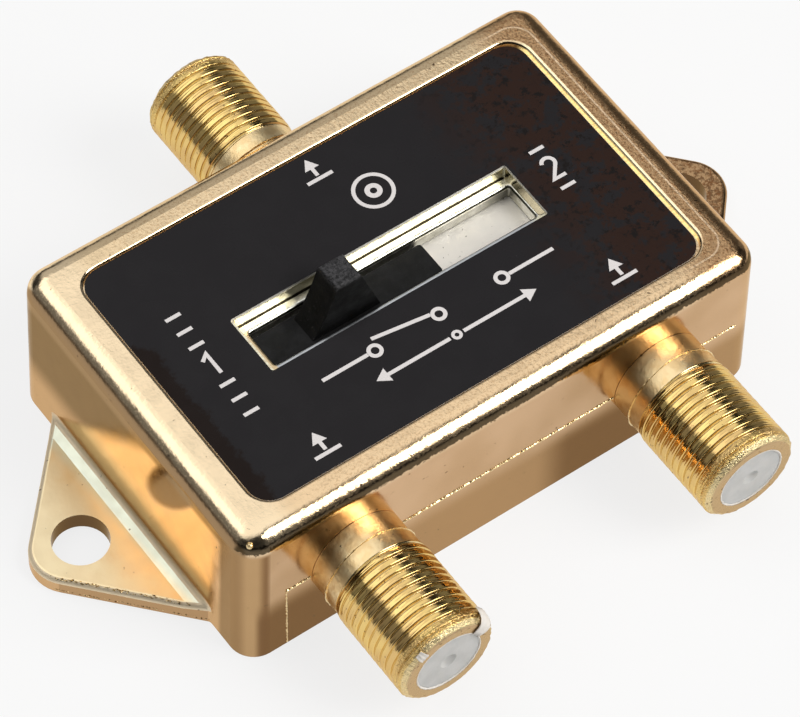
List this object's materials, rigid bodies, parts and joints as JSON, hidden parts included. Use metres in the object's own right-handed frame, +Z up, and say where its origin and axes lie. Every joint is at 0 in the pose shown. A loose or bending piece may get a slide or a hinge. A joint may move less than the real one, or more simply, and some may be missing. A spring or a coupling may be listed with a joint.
{
  "type": "coaxial antenna switch",
  "caption": "Two-way slide switch for coaxial antenna leads: a gold-plated box with threaded F ports on both long sides, a windowed black top plate and a mounting ear at each end.",
  "frame": {"origin": "centre of the underside, midway between the mounting holes", "axes": "+Z up out of the label, +X along the box towards the second input, the inputs face -Y and the output faces +Y"},
  "size_m": [0.0736, 0.0612, 0.0199],
  "materials": {
    "gold_plating": "bright gold plating over a zinc die casting, slightly grained on the rim",
    "black_label": "glossy black printed plate",
    "tinned_steel": "bright tin plate",
    "bright_steel": "satin, finely scratched",
    "spring_steel": "drawn wire",
    "silvered_brass": "thin silver over brass",
    "copper": "rolled copper",
    "solder": "bright solder",
    "black_plastic": "matt moulded, lightly worn on the grip",
    "white_polyethylene": "waxy, slightly see-through",
    "phenolic_board": "brown laminate",
    "circuit_board": "tan laminate"
  },
  "bodies": {
    "switch_body": {"housing": "gold_plating", "face_label": "black_label", "bottom_cover": "tinned_steel", "switch_frame": "tinned_steel", "terminal_board": "phenolic_board", "fixed_terminals": "silvered_brass", "circuit_board": "circuit_board", "circuit_tracks": "copper", "solder_joints": "solder", "in_1_insulator": "white_polyethylene", "in_1_contact": "silvered_brass", "in_1_rear_bush": "white_polyethylene", "in_2_insulator": "white_polyethylene", "in_2_contact": "silvered_brass", "in_2_rear_bush": "white_polyethylene", "out_insulator": "white_polyethylene", "out_contact": "silvered_brass", "out_rear_bush": "white_polyethylene"},
    "slider": {"slider_knob": "black_plastic", "shutter_strip": "bright_steel", "contact_carrier": "phenolic_board", "bridge_contacts": "silvered_brass", "detent_balls": "bright_steel", "detent_spring": "spring_steel"}
  },
  "joints": [
    {"name": "slider_travel", "type": "slide", "parent": "switch_body", "child": "slider", "axis": [1, 0, 0], "range_m": [0, 0.0095]}
  ]
}
